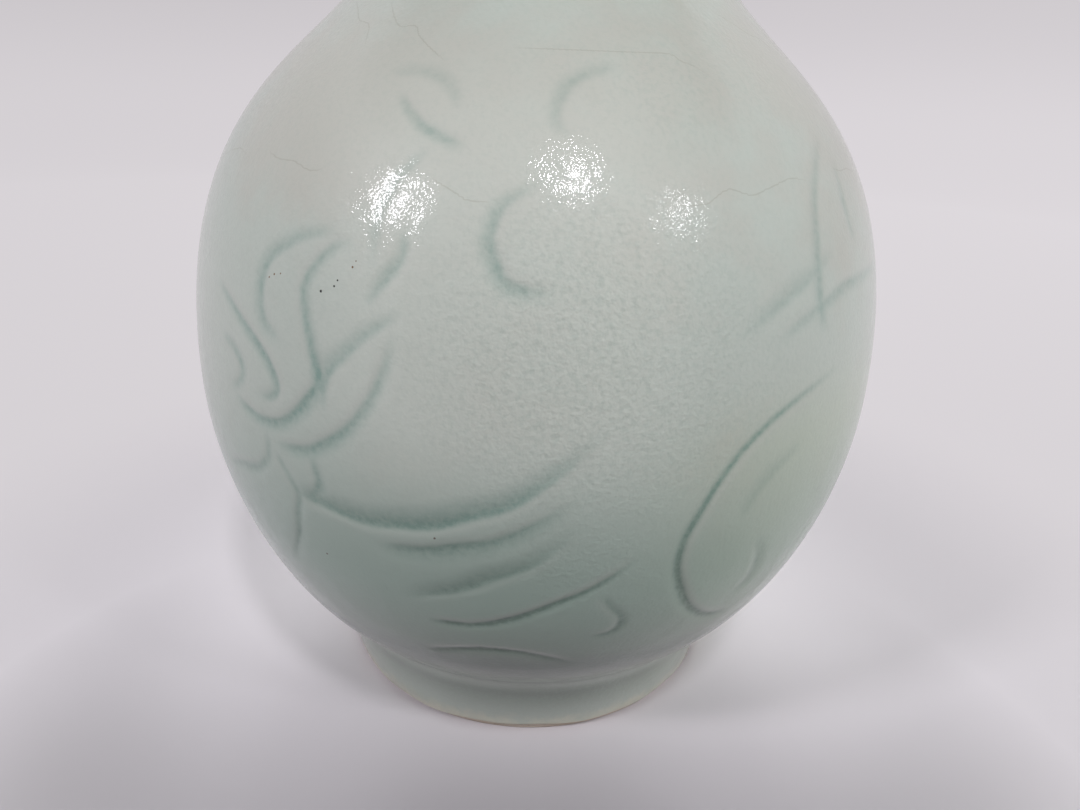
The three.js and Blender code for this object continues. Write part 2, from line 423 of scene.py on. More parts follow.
def smooth_line(points, spacing):
    """A Catmull-Rom curve through the points, at about that spacing."""
    points = np.array(points, float)
    padded = np.concatenate([2 * points[:1] - points[1:2], points, 2 * points[-1:] - points[-2:-1]])
    runs = []
    for a, b, c, d in zip(padded, padded[1:], padded[2:], padded[3:]):
        count = max(2, int(np.linalg.norm(c - b) / spacing))
        t = np.linspace(0, 1, count, endpoint=False)[:, None]
        runs.append(0.5 * (2 * b + (c - a) * t + (2 * a - 5 * b + 4 * c - d) * t ** 2
                           + (3 * b - a - 3 * c + d) * t ** 3))
    return np.concatenate([*runs, points[-1:]])


class Skin:
    """The grid of the outside: lengths up the outline by angles round it."""

    def __init__(self, lengths, angles):
        self.lengths = lengths
        self.angles = angles
        self.radii = outside_at(lengths)[:, 0]
        self.shape = (len(lengths), len(angles))

    def near(self, line, turn, reach):
        """Rows and columns within reach of a line, with their distance from it, how far they lie to
        its left, and the share of it that is passed there."""
        angle, height = line.T
        angle = angle + turn
        length = length_at(height)
        radius = outside_at(length)[:, 0]
        span = np.degrees(reach / radius.min())
        rows = np.flatnonzero((self.lengths > length.min() - reach) & (self.lengths < length.max() + reach))
        middle = (angle.min() + angle.max()) / 2
        away = (self.angles - middle + 180) % 360 - 180
        columns = np.flatnonzero(np.abs(away) < (angle.max() - angle.min()) / 2 + span)
        across = np.radians(away[columns][:, None] + middle - angle)
        across = across * self.radii[rows][:, None, None]
        up = self.lengths[rows][:, None, None] - length
        nearest = (across ** 2 + up ** 2).argmin(axis=2)
        pick = nearest[..., None]
        across = np.take_along_axis(across, pick, 2)[..., 0]
        up = np.take_along_axis(np.broadcast_to(up, (*nearest.shape, up.shape[2])), pick, 2)[..., 0]
        run = np.gradient(np.stack([np.radians(angle) * radius, length], axis=1), axis=0)
        run /= np.linalg.norm(run, axis=1)[:, None]
        left = run[nearest, 0] * up - run[nearest, 1] * across
        share = nearest / (len(angle) - 1)
        return np.ix_(rows, columns), np.hypot(across, up), left, share


LINE_SPACING = 0.5


def place_on_skin(places):
    """A line's places turned into even millimetres, made smooth, and turned back."""
    places = np.array(places, float)
    length = length_at(places[:, 1])
    mean_radius = outside_at(length)[:, 0].mean()
    flat = np.stack([np.radians(places[:, 0]) * mean_radius, length], axis=1)
    flat = smooth_line(flat, LINE_SPACING)
    height = outside_at(flat[:, 1])[:, 1]
    return np.stack([np.degrees(flat[:, 0] / mean_radius), height], axis=1)


# Section of a cut: width of its steep side, and how much more for each millimetre that it is shallower
# than one, power of its hollow bevel, and the raised edge beside it
STEEP_WIDTH = 0.75
SHALLOW_SOFTENING = 1.6
BEVEL_HOLLOW = 1.35
EDGE_WIDTH = 1.6

# How much slighter a cut is at its ends, and how sharply cuts run into each other
SLIGHTER_AT_ENDS = 0.5
SHARPNESS = 4


def cut_depth(each, away, left, share):
    """Depth of one cut, and the raised edge on its steep side."""
    swell = 1 - SLIGHTER_AT_ENDS * np.abs(share - each.fullest) / max(each.fullest, 1 - each.fullest)
    taper = smooth(share, 0, each.starts) * smooth(1 - share, 0, each.ends)
    onto_bevel = left > 0 if each.side == "left" else left < 0
    bevel = np.clip(1 - away / (each.bevel * swell), 0, 1) ** BEVEL_HOLLOW
    steep = 1 - smooth(away, 0, STEEP_WIDTH + SHALLOW_SOFTENING * max(0, 1 - each.depth))
    depth = each.depth * taper * swell * np.where(onto_bevel, bevel, steep)
    rim = np.clip(1 - np.abs(away - STEEP_WIDTH) / EDGE_WIDTH, 0, 1) * ~onto_bevel
    return np.maximum(depth, 0), rim * taper * each.depth


def carve(skin):
    """Depth of the carving in the clay, in millimetres, and how far each point is a raised edge."""
    total = np.zeros(skin.shape)
    edge = np.zeros(skin.shape)
    for cuts, turn in FIGURES:
        for each in cuts:
            where, away, left, share = skin.near(place_on_skin(each.places), turn, each.bevel + 1)
            depth, rim = cut_depth(each, away, left, share)
            total[where] += depth ** SHARPNESS
            edge[where] = np.maximum(edge[where], rim)
    return total ** (1 / SHARPNESS), edge


def soften(values, passes):
    """Spreads values over the grid by passes of a small kernel, wrapping round the pot."""
    for _ in range(passes):
        values = (np.roll(values, 1, 1) + 2 * values + np.roll(values, -1, 1)) / 4
        padded = np.concatenate([values[:1], values, values[-1:]])
        values = (padded[:-2] + 2 * values + padded[2:]) / 4
    return values


def crazing_distance(skin):
    """Signed distance to the nearest crazing line, and how strong that line is there."""
    distance = np.full(skin.shape, CRAZING_REACH)
    strength = np.zeros(skin.shape)
    for turn in CRAZING_TURNS:
        for places in CRAZING:
            where, away, left, share = skin.near(place_on_skin(places), turn, CRAZING_REACH)
            closer = away < np.abs(distance[where])
            distance[where] = np.where(closer, np.copysign(away, left), distance[where])
            fade = smooth(share, 0, CRAZING_FADE) * smooth(1 - share, 0, CRAZING_FADE)
            strength[where] = np.where(closer, fade, strength[where])
    return distance, strength


def spaced(start, end, spacing):
    """Even values from start to end, at about that spacing."""
    return np.linspace(start, end, max(2, round((end - start) / spacing) + 1))


def ring_faces(rows, columns, poles):
    """Corners of all faces between rings, one face after another, and how many each face has."""
    corner = np.arange(rows * columns).reshape(rows, columns)
    ends = corner if poles else np.concatenate([corner, corner[:1]])
    right = np.roll(ends, -1, 1)
    quads = np.stack([ends[:-1], right[:-1], right[1:], ends[1:]], axis=-1).reshape(-1, 4)
    sizes = np.full(len(quads), 4)
    if not poles:
        return quads.ravel(), sizes
    low, high = np.full(columns, rows * columns), np.full(columns, rows * columns + 1)
    under = np.stack([low, np.roll(corner[0], -1), corner[0]], axis=1)
    over = np.stack([corner[-1], np.roll(corner[-1], -1), high], axis=1)
    return np.concatenate([quads, under, over], axis=None), np.append(sizes, np.full(2 * columns, 3))


def add_mesh(name, rings, poles=(), values=None):
    """A closed body of rings of points. With two poles the outline starts and ends on the axis,
    and without poles it closes on itself."""
    corners, sizes = ring_faces(*rings.shape[:2], poles)
    points = np.concatenate([rings.reshape(-1, 3), np.reshape(poles, (-1, 3))])
    mesh = bpy.data.meshes.new(name)
    mesh.vertices.add(len(points))
    mesh.vertices.foreach_set("co", (points * MM).astype(np.float32).ravel())
    mesh.loops.add(len(corners))
    mesh.loops.foreach_set("vertex_index", corners.astype(np.int32))
    mesh.polygons.add(len(sizes))
    mesh.polygons.foreach_set("loop_start", (np.cumsum(sizes) - sizes).astype(np.int32))
    mesh.polygons.foreach_set("use_smooth", np.ones(len(sizes), bool))
    mesh.update(calc_edges=True)
    mesh.set_sharp_from_angle(angle=math.radians(SHARP_ANGLE))
    for key, array in (values or {}).items():
        full = np.zeros(len(points), np.float32)
        full[:array.size] = array.ravel()
        mesh.attributes.new(key, "FLOAT", "POINT").data.foreach_set("value", full)
    piece = bpy.data.objects.new(name, mesh)
    bpy.context.scene.collection.objects.link(piece)
    return piece


def turned(name, outline, flats=PLAIN_FLATS):
    """A body turned from an outline; an outline that starts on the axis also ends there."""
    angles = np.arange(flats) * 360 / flats
    on_axis = outline[0, 0] < 1e-6
    rings = rings_of(outline[1:-1] if on_axis else outline, angles)
    poles = [(0, 0, outline[0, 1]), (0, 0, outline[-1, 1])] if on_axis else ()
    return add_mesh(name, rings, poles)


def add_piece(piece, material, slot, *nodes):
    """Gives a piece its material and hides the nodes of the frame that it stands for; the slot is not used.
    """
    piece.data.materials.append(material)
    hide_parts(*nodes)
    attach(piece, "root")


def clay_outside(low, high, depth):
    """The outside that depth below the glaze, between two heights."""
    moved = OUTSIDE - OUTSIDE_NORMALS * depth
    return moved[(OUTSIDE[:, 1] >= low) & (OUTSIDE[:, 1] <= high)]


RECESS = np.array([
    (0, RECESS_HEIGHT),
    (RECESS_RADIUS, RECESS_HEIGHT),
    (FOOT_FLANK_RADIUS - FOOT_REST_WIDTH, 0),
], float)
RECESS_LEAN = (RECESS[2] - RECESS[1]) / np.linalg.norm(RECESS[2] - RECESS[1])
RECESS_OUT = np.array([-RECESS_LEAN[1], RECESS_LEAN[0]])


def recess_run(depth, low):
    """The recess's face, that depth into the clay, from the axis out and down to a height."""
    top = RECESS_HEIGHT + depth
    corner = RECESS[1] + RECESS_OUT * depth
    corner = corner + RECESS_LEAN * (top - corner[1]) / RECESS_LEAN[1]
    foot = corner + RECESS_LEAN * (low - corner[1]) / RECESS_LEAN[1]
    soft = [corner + heading(180) * RECESS_CORNER, corner, corner + RECESS_LEAN * RECESS_CORNER]
    return joined([(0, top)], curve(soft, steps=8), [foot])


def grid_angles():
    """Angles round the pot, close together on the front and wider apart behind it."""
    front = np.radians(FRONT_HALF_ANGLE) * BELLY_RADIUS
    back = np.pi * BELLY_RADIUS
    half = np.concatenate([spaced(0, front, FRONT_SPACING)[:-1], spaced(front, back, BACK_SPACING)])
    half = np.degrees(half / BELLY_RADIUS)
    return np.concatenate([half, -half[1:-1][::-1]])


def carved_skin():
    """The grid of the outside, close together as far up as the carving and crazing reach."""
    start, carved, end = length_at(BARE_BAND), length_at(CARVED_TOP), OUTSIDE_LENGTHS[-1]
    lengths = np.concatenate([spaced(start, carved, FRONT_SPACING)[:-1], spaced(carved, end, NECK_SPACING)])
    return Skin(lengths, grid_angles())


def waver_at(turn):
    """How far the glaze's lower edge stands up, in millimetres, at a turn in radians."""
    return sum(size * np.sin(waves * turn + phase) for size, waves, phase in WAVER)


def glazed_rings(skin, relief):
    """The glazed outside as rings, with the waves of a thrown wall, and sunk by the relief."""
    radius, height = (each[:, None] for each in outside_at(skin.lengths).T)
    out, up = (each[:, None] for each in normal_at(skin.lengths).T)
    turn = np.radians(skin.angles)[None, :]
    sway = sum(
        size * np.sin(waves * turn + rise * skin.lengths[:, None] + phase)
        for size, waves, rise, phase in SWAY
    )
    moved = sway * smooth(height, FOOT_HEIGHT, SWAY_FULL) - relief
    low_edge = 1 - smooth(height, BARE_BAND, BARE_BAND + WAVER_REACH)
    return around(radius + out * moved, height + up * moved + waver_at(turn) * low_edge, skin.angles)


def below_run():
    """Outline under the skin: the boss under the floor, the seat, and the back of the glaze coat."""
    top = RECESS_HEIGHT + COAT_DEPTH
    boss = recess_run(COAT_DEPTH, 0)[-2, 0] - BOSS_CLEARANCE
    coat_back = clay_outside(BARE_BAND, FOOT_HEIGHT - SEAT_CORNER, GLAZE_THICKNESS)[::-COAT_BACK_STRIDE]
    seat_end = coat_back[0, 0] - SEAT_CORNER
    return joined([(0, top), (boss, top), (boss, FOOT_HEIGHT), (seat_end, FOOT_HEIGHT)], coat_back)


def above_run():
    """Outline over the skin: the lip, the glaze down to where the coats meet, and the bare inside."""
    face, back = inside_run(0), inside_run(COAT_DEPTH)
    return joined(
        lip_run()[1:],
        face[face[:, 1] > GLAZE_MEETING][1:],
        [meeting_point(face), meeting_point(back)],
        back[back[:, 1] < GLAZE_MEETING],
    )


# Share of the carving's depth that still shows in the face of the glaze over it
RELIEF_SHOWN = 0.5


def carved_body():
    """The thrown and carved wall with its glaze, as one body from the boss under the floor up."""
    skin = carved_skin()
    clay, edge = carve(skin)
    pool = soften(clay, passes=1)
    thin = np.clip(soften(edge, passes=2) - pool, 0, 1)
    crazing, crazing_strength = crazing_distance(skin)

    outer = glazed_rings(skin, RELIEF_SHOWN * soften(clay, passes=4))
    below, above = below_run(), above_run()
    lower = rings_of(below[1:], skin.angles)
    lower[-1, :, 2] += waver_at(np.radians(skin.angles))
    upper = rings_of(above[:-1], skin.angles)

    def padded(values, fill=0.0):
        return np.pad(values, ((len(lower), len(upper)), (0, 0)), constant_values=fill)

    values = {
        "pool": padded(pool),
        "thin": padded(thin),
        "crazing": padded(crazing, CRAZING_REACH),
        "crazing_strength": padded(crazing_strength),
    }
    poles = [(0, 0, below[0, 1]), (0, 0, above[-1, 1])]
    return add_mesh("carved_body", np.concatenate([lower, outer, upper]), poles, values)


def lining():
    """The glaze of the inside, from where the coats meet down over the floor."""
    face, back = inside_run(0), inside_run(GLAZE_THICKNESS)
    top = [meeting_point(run) - (0, MEETING_GAP) for run in (back, face)]
    face = face[face[:, 1] < GLAZE_MEETING - MEETING_GAP]
    back = back[back[:, 1] < GLAZE_MEETING - MEETING_GAP]
    return turned("lining_glaze", joined(back[::-1], top, face))


def underside_glaze():
    """The glaze inside the foot ring and under the floor."""
    face = recess_run(0, BARE_BAND)
    back = recess_run(GLAZE_THICKNESS, BARE_BAND)
    return turned("underside_glaze", np.concatenate([face, back[::-1]]))


def rest_edge(radius, inwards):
    """The eased edge of the rest face at a radius, from the foot's side to the face."""
    foot = heading(0) * radius
    return curve(
        [foot + UP * REST_CHAMFER, foot + UP * CHAMFER_BOW, foot + inwards * REST_CHAMFER], steps=6,
    )


def foot_ring():
    """The turned foot under the glaze, bare where it stands on the table."""
    top = FOOT_HEIGHT - SLIP_THICKNESS - RING_UNDER_SLIP
    flank = clay_outside(REST_CHAMFER + RING_OVER_CHAMFER, top, COAT_DEPTH)[::FLANK_STRIDE]
    bore, inner_foot = recess_run(COAT_DEPTH, REST_CHAMFER)[-2:]
    return turned("foot_clay", joined(
        rest_edge(inner_foot[0], heading(0)),
        rest_edge(flank[0, 0], heading(180))[::-1],
        flank,
        [(bore[0], flank[-1, 1]), bore],
    ))


class Graph:
    """A material's nodes, added by kind with their inputs given as numbers, colours or sockets."""

    def __init__(self, name):
        self.material = bpy.data.materials.new(name)
        self.material.use_nodes = True
        self.nodes = self.material.node_tree.nodes
        self.links = self.material.node_tree.links
        self.shader = self.nodes["Principled BSDF"]

    def put(self, node, key, value):
        socket = node.inputs[key]
        if isinstance(value, bpy.types.NodeSocket):
            self.links.new(value, socket)
        else:
            socket.default_value = value

    def add(self, kind, inputs=None, **settings):
        node = self.nodes.new(kind)
        for key, value in settings.items():
            setattr(node, key, value)
        for key, value in (inputs or {}).items():
            self.put(node, key, value)
        return node

    def place(self):
        return self.add("ShaderNodeTexCoord").outputs["Object"]

    def axes(self, place):
        """The place's three coordinates, in millimetres."""
        scaled = self.add("ShaderNodeVectorMath", {0: place, "Scale": 1 / MM}, operation="SCALE")
        return self.add("ShaderNodeSeparateXYZ", {0: scaled.outputs["Vector"]}).outputs

    def distance(self, place, spot):
        """How far the place is from a spot given in metres, in millimetres."""
        node = self.add("ShaderNodeVectorMath", {0: place, 1: tuple(spot)}, operation="DISTANCE")
        return self.math("DIVIDE", node.outputs["Value"], MM)

    def attribute(self, name):
        return self.add("ShaderNodeAttribute", attribute_name=name).outputs["Fac"]

    def noise(self, place, size, detail=2.0, roughness=0.5):
        """Noise whose patches are about that many millimetres across."""
        inputs = {"Vector": place, "Scale": 1 / (size * MM), "Detail": detail, "Roughness": roughness}
        return self.add("ShaderNodeTexNoise", inputs).outputs["Fac"]

    def math(self, operation, a, b=0.0):
        return self.add("ShaderNodeMath", {0: a, 1: b}, operation=operation).outputs[0]

    def times(self, a, b):
        return self.math("MULTIPLY", a, b)

    def between(self, value, low, high, to_low=0.0, to_high=1.0, ease="SMOOTHSTEP"):
        inputs = {"Value": value, "From Min": low, "From Max": high, "To Min": to_low, "To Max": to_high}
        node = self.add("ShaderNodeMapRange", inputs, interpolation_type=ease)
        return node.outputs["Result"]

    def band(self, value, rise, fall):
        """1 inside a band of values, easing out to 0 at both sides of it."""
        return self.times(self.between(value, *rise), self.between(value, *fall))

    def mix(self, share, a, b, blend="MIX"):
        node = self.add("ShaderNodeMix", {0: share, 6: a, 7: b}, data_type="RGBA", blend_type=blend)
        return node.outputs[2]

    def layer(self, colour, over, share, mask):
        """A colour laid over another by a share of a mask."""
        return self.mix(self.times(mask, share), colour, over)

    def tinted(self, colour, tint):
        return self.mix(1.0, colour, tint, "MULTIPLY")

    def bump(self, height, millimetres, normal=None):
        inputs = {"Height": height, "Distance": millimetres * MM, "Strength": 1.0}
        if normal is not None:
            inputs["Normal"] = normal
        return self.add("ShaderNodeBump", inputs).outputs["Normal"]

    def finish(self, **inputs):
        for key, value in inputs.items():
            self.put(self.shader, key.replace("_", " ").title().replace("Ior", "IOR"), value)
        return self.material


# Tones of the glaze, and the tints that it takes where it pools or is crazed. The shaded tone is painted
# shade low on the pot, over the thicker glaze's own darker colour there, and the underside tint is painted
# shade
BEIGE_GLAZE = (0.61, 0.628, 0.556, 1)
GREEN_GLAZE = (0.608, 0.678, 0.606, 1)
TEAL_GLAZE = (0.404, 0.516, 0.446, 1)
SHADED_GLAZE = (0.271, 0.315, 0.272, 1)
THIN_GLAZE = (0.60, 0.60, 0.55, 1)
# The front tone is painted light, laid down the middle of the front
FRONT_LIGHT_GLAZE = (0.80, 0.852, 0.765, 1)
WARM_EDGE = (0.60, 0.59, 0.48, 1)
POOL_TINT = (0.48, 0.64, 0.62, 1)
LOW_POOL_TINT = (0.50, 0.565, 0.54, 1)
UNDERSIDE_SHADE_TINT = (0.72, 0.74, 0.74, 1)
WARM_TINT = (1.0, 1.0, 0.93, 1)
CRAZING_TINT = (0.66, 0.65, 0.58, 1)

# Heights in millimetres from which one tone passes into the next, and at which it has
GREENER_DOWN = (155, 105)
GREENER_UP = (146, 162)
TEAL_DOWN = (102, 58)
SHADED_DOWN = (61, 30)
WARM_DOWN = (105, 85)
WARM_RIGHTWARDS = (10, 50)
LOW_POOLS_DOWN = (90, 55)
FOOT_DOWN = (17, 4.5)
EDGE_DOWN = (2, -4)

# Bands of tone: where each sets in, and where it is gone again
FRONT_LIGHT_BAND = ((76, 100), (160, 130))
FRONT_LIGHT_MIDDLE = -5
FRONT_LIGHT_HALF_WIDTH = (38, 14)
UNDERSIDE_SHADE_BAND = ((27, 34), (43, 35))
CREASE_BAND = ((14, 20), (31, 24))

# How strongly each layer shows
FRONT_LIGHT_SHARE = 0.56
THIN_SHARE = 0.26
CREASE_SHARE = 0.55
FOOT_SHARE = 0.50
EDGE_SHARE = 0.85
CRAZING_SHARE = 0.35
GRAIN_SHARE = 0.26

# Drift from beige to green: weight of the broad patches, how much greener belly and shoulder are, and
# where beige passes into green
DRIFT_WEIGHT = 0.7
GREENER_BELLY = (-0.18, 0.14)
GREENER_SHOULDER = (0.0, 0.16)
BEIGE_TO_GREEN = (0.34, 0.62)

# Sizes of the patches in the glaze, in millimetres
DRIFT_SIZE = 42
MOTTLE_SIZE = 9
POOL_MOTTLE_SIZE = 1.4
GRAIN_SIZE = 1.0
EDGE_PATCH_SIZE = 5
EDGE_PATCH_HEIGHT = 9
FULL_POOL = 0.8
CRAZING_WIDTH = (0.22, 0.05)


def glaze_colour(graph, place):
    """Celadon that drifts between beige, green and blue-green, paler towards the shoulder, with painted
    shade darkening it towards the foot.
    """
    axes = graph.axes(place)
    height = axes["Z"]
    drift = graph.times(graph.noise(place, DRIFT_SIZE, 3.0, 0.55), DRIFT_WEIGHT)
    mottle = graph.times(graph.noise(place, MOTTLE_SIZE, 3.0, 0.6), 1 - DRIFT_WEIGHT)
    belly = graph.between(height, *GREENER_DOWN, *GREENER_BELLY)
    shoulder = graph.between(height, *GREENER_UP, *GREENER_SHOULDER)
    green = graph.math("ADD", graph.math("ADD", drift, mottle), graph.math("ADD", belly, shoulder))
    colour = graph.mix(graph.between(green, *BEIGE_TO_GREEN), BEIGE_GLAZE, GREEN_GLAZE)
    colour = graph.mix(graph.between(height, *TEAL_DOWN), colour, TEAL_GLAZE)
    # Painted shade low on the pot, over the thicker glaze's own darker tone
    colour = graph.mix(graph.between(height, *SHADED_DOWN), colour, SHADED_GLAZE)
    rightwards = graph.between(axes["X"], *WARM_RIGHTWARDS)
    warm = graph.times(rightwards, graph.between(height, *WARM_DOWN))
    return graph.mix(warm, colour, graph.tinted(colour, WARM_TINT))


WAVE_SIZE = 5


def orange_peel(graph, place, size, depth, waves=0.12, share=1.0):
    """The glaze's dimples, that many millimetres across and deep, broken by slower waves."""
    slow = graph.bump(graph.noise(place, WAVE_SIZE, 2.0), waves)
    dimples = graph.times(graph.noise(place, size, 1.5, 0.5), share)
    return graph.bump(dimples, depth, slow)


def painted_front_light(graph, place):
    """Painted light: a paler band down the middle of the front, from the shoulder to under the belly, where
    light from the front falls.
    """
    axes = graph.axes(place)
    off_middle = graph.math("ABSOLUTE", graph.math("SUBTRACT", axes["X"], FRONT_LIGHT_MIDDLE))
    across = graph.between(off_middle, *FRONT_LIGHT_HALF_WIDTH)
    return graph.times(across, graph.band(axes["Z"], *FRONT_LIGHT_BAND))


PITTED_PLACE = (10, 104)
PITTED_REACH = 55
PITTED_FULL = 11
PITTED_PATCH_SIZE = 45
PITTED_ELSEWHERE = (0.35, 0.9)


def pitted(graph, place):
    """How pitted the glaze is: most in a wide patch on the front, and in places all round."""
    patch = graph.between(graph.distance(place, on_glaze(*PITTED_PLACE)), PITTED_REACH, PITTED_FULL)
    rest = graph.between(graph.noise(place, PITTED_PATCH_SIZE, 2.0), 0.55, 0.75, *PITTED_ELSEWHERE)
    return graph.math("MAXIMUM", patch, rest)


def with_grain(graph, place, colour, pits):
    """Small darker grains where the glaze is pitted."""
    grain = graph.between(graph.noise(place, GRAIN_SIZE, 2.0, 0.6), 0.42, 0.72)
    return graph.layer(colour, TEAL_GLAZE, GRAIN_SHARE, graph.times(grain, pits))


def with_pools(graph, place, colour):
    """Darker where the glaze pools in the cuts, and paler where it thins over their edges."""
    low = graph.between(graph.axes(place)["Z"], *LOW_POOLS_DOWN)
    tint = graph.mix(low, POOL_TINT, LOW_POOL_TINT)
    mottle = graph.between(graph.noise(place, POOL_MOTTLE_SIZE, 3.0, 0.65), 0.3, 0.7, 0.72, 1.12)
    pool = graph.between(graph.attribute("pool"), 0.0, FULL_POOL, ease="LINEAR")
    return graph.mix(graph.times(pool, mottle), colour, graph.tinted(colour, tint))


def with_foot_tones(graph, place, colour):
    """Painted shade under the belly, a paler crease that is partly thinner glaze over the bead and partly
    painted light, paler down the foot, and warm at the bare edge.
    """
    height = graph.axes(place)["Z"]
    # Painted shade under the belly
    underside = graph.band(height, *UNDERSIDE_SHADE_BAND)
    colour = graph.mix(underside, colour, graph.tinted(colour, UNDERSIDE_SHADE_TINT))
    colour = graph.layer(colour, THIN_GLAZE, THIN_SHARE, graph.attribute("thin"))
    # Paler crease: thinner glaze over the bead, and painted light that it catches
    colour = graph.layer(colour, GREEN_GLAZE, CREASE_SHARE, graph.band(height, *CREASE_BAND))
    colour = graph.layer(colour, GREEN_GLAZE, FOOT_SHARE, graph.between(height, *FOOT_DOWN))
    patchy = graph.times(graph.noise(place, EDGE_PATCH_SIZE, 3.0, 0.6), EDGE_PATCH_HEIGHT)
    edge = graph.between(graph.math("SUBTRACT", height, patchy), *EDGE_DOWN)
    return graph.layer(colour, WARM_EDGE, EDGE_SHARE, edge)


def with_crazing(graph, colour):
    """Fine darker lines that fade out at their ends."""
    line = graph.between(graph.math("ABSOLUTE", graph.attribute("crazing")), *CRAZING_WIDTH)
    line = graph.times(line, graph.attribute("crazing_strength"))
    return graph.layer(colour, graph.tinted(colour, CRAZING_TINT), CRAZING_SHARE, line)


# Specks: size of the grain that frays their edge, how far it moves it, and where a speck begins and
# is full, the last three as shares of its radius
SPECK_GRAIN_SIZE = 0.5
SPECK_WANDER = 0.9
SPECK_BEGINS = 1.5
SPECK_FULL = 1.1


def with_specks(graph, place, colour):
    """Iron specks with uneven edges."""
    grain = graph.noise(place, SPECK_GRAIN_SIZE, 1.0)
    for (angle, height), radius, tint in SPECKS:
        wander = graph.times(grain, SPECK_WANDER * radius)
        away = graph.math("ADD", graph.distance(place, on_glaze(angle, height)), wander)
        colour = graph.mix(graph.between(away, SPECK_BEGINS * radius, SPECK_FULL * radius), colour, tint)
    return colour


# The glaze's body and the gloss over it
GLAZE_FINISH = {"roughness": 0.45, "specular_ior_level": 0.2, "coat_weight": 0.75, "coat_ior": 1.5}


def carved_glaze():
    """The glossy, dimpled glaze over the carving."""
    graph = Graph("celadon_glaze")
    place = graph.place()
    pits = pitted(graph, place)
    colour = glaze_colour(graph, place)
    # Painted light down the middle of the front
    colour = graph.layer(colour, FRONT_LIGHT_GLAZE, FRONT_LIGHT_SHARE, painted_front_light(graph, place))
    colour = with_grain(graph, place, colour, pits)
    colour = with_pools(graph, place, colour)
    colour = with_foot_tones(graph, place, colour)
    colour = with_crazing(graph, colour)
    colour = with_specks(graph, place, colour)
    return graph.finish(
        base_color=colour, normal=orange_peel(graph, place, size=0.9, depth=0.17, share=pits),
        coat_normal=orange_peel(graph, place, size=0.50, depth=0.058, waves=0.22),
        coat_roughness=0.055, **GLAZE_FINISH,
    )


def plain_glaze():
    """The same glaze where nothing is carved, inside and underneath."""
    graph = Graph("celadon_lining")
    place = graph.place()
    return graph.finish(
        base_color=glaze_colour(graph, place), normal=orange_peel(graph, place, size=0.9, depth=0.08),
        coat_normal=orange_peel(graph, place, size=0.55, depth=0.048, waves=0.26),
        coat_roughness=0.075, **GLAZE_FINISH,
    )


BARE_CLAY = (0.52, 0.43, 0.35, 1)
PALER_CLAY = (0.58, 0.51, 0.43, 1)
GRIT = (0.20, 0.15, 0.12, 1)
CLAY_PATCH_SIZE = 14
GRIT_SIZE = 0.6
GRIT_DEPTH = 0.09


def bare_clay():
    """Matt fired stoneware with dark grit in it."""
    graph = Graph("foot_clay")
    place = graph.place()
    patches = graph.between(graph.noise(place, CLAY_PATCH_SIZE, 4.0, 0.6), 0.35, 0.65)
    colour = graph.mix(patches, BARE_CLAY, PALER_CLAY)
    grit = graph.noise(place, GRIT_SIZE, 3.0, 0.7)
    colour = graph.mix(graph.between(grit, 0.60, 0.72, 0.0, 0.7), colour, GRIT)
    return graph.finish(base_color=colour, roughness=0.85, normal=graph.bump(grit, GRIT_DEPTH))


# Stage: a round table top that curves up into a pale surround, in millimetres
FLOOR_RADIUS = 900
COVE_RADIUS = 400
COVE_STEP = 6
WALL_TOP = 1500
SURROUND_COLUMNS = 96

# Tone of the table, paler close to the pot as painted light that lifts the pot's shadow there, and where it
# gives way to the backdrop's own glow
FLOOR_COLOUR = (0.76, 0.737, 0.76, 1)
PAINTED_LIGHT_NEAR_POT = (0.93, 0.90, 0.93, 1)
PAINTED_LIGHT_REACH = (150, 55)
BACKDROP_COLOUR = (0.650, 0.620, 0.645, 1)
BACKDROP_REACH = (100, 230)
# The backdrop's glow is painted light, a little darker upwards and paler to the right
BACKDROP_RISE = (60, 260)
BACKDROP_RISE_TONES = (1.03, 0.92)
BACKDROP_BREADTH = (-200, 900)
BACKDROP_BREADTH_TONES = (0.97, 1.05)

# Painted shadow on the table: it darkens towards the front, most in the middle, and further back at the far
# sides
DIMMED_FRONT = (-10, -90)
DIMMED_MIDDLE = 0.50
DIMMED_BESIDE = 0.32
BESIDE_REACH = (10, 50)
DIMMED_SIDES = (20, -30)
DIMMED_LEFT = 0.155
DIMMED_RIGHT = 0.088
SIDES_REACH = (60, 110)
SIDE_TO_SIDE = (-100, 100)
BLACK_TABLE = (0, 0, 0, 1)


def painted_table_shadow(graph, axes):
    """Painted shadow: how much darker the table is towards its front and its far sides."""
    off_middle = graph.math("ABSOLUTE", axes["X"])
    most = graph.between(off_middle, *BESIDE_REACH, DIMMED_MIDDLE, DIMMED_BESIDE)
    front = graph.times(graph.between(axes["Y"], *DIMMED_FRONT), most)
    sides = graph.times(graph.between(off_middle, *SIDES_REACH), graph.between(axes["Y"], *DIMMED_SIDES))
    share = graph.between(axes["X"], *SIDE_TO_SIDE, DIMMED_LEFT, DIMMED_RIGHT)
    return graph.math("ADD", front, graph.times(sides, share))


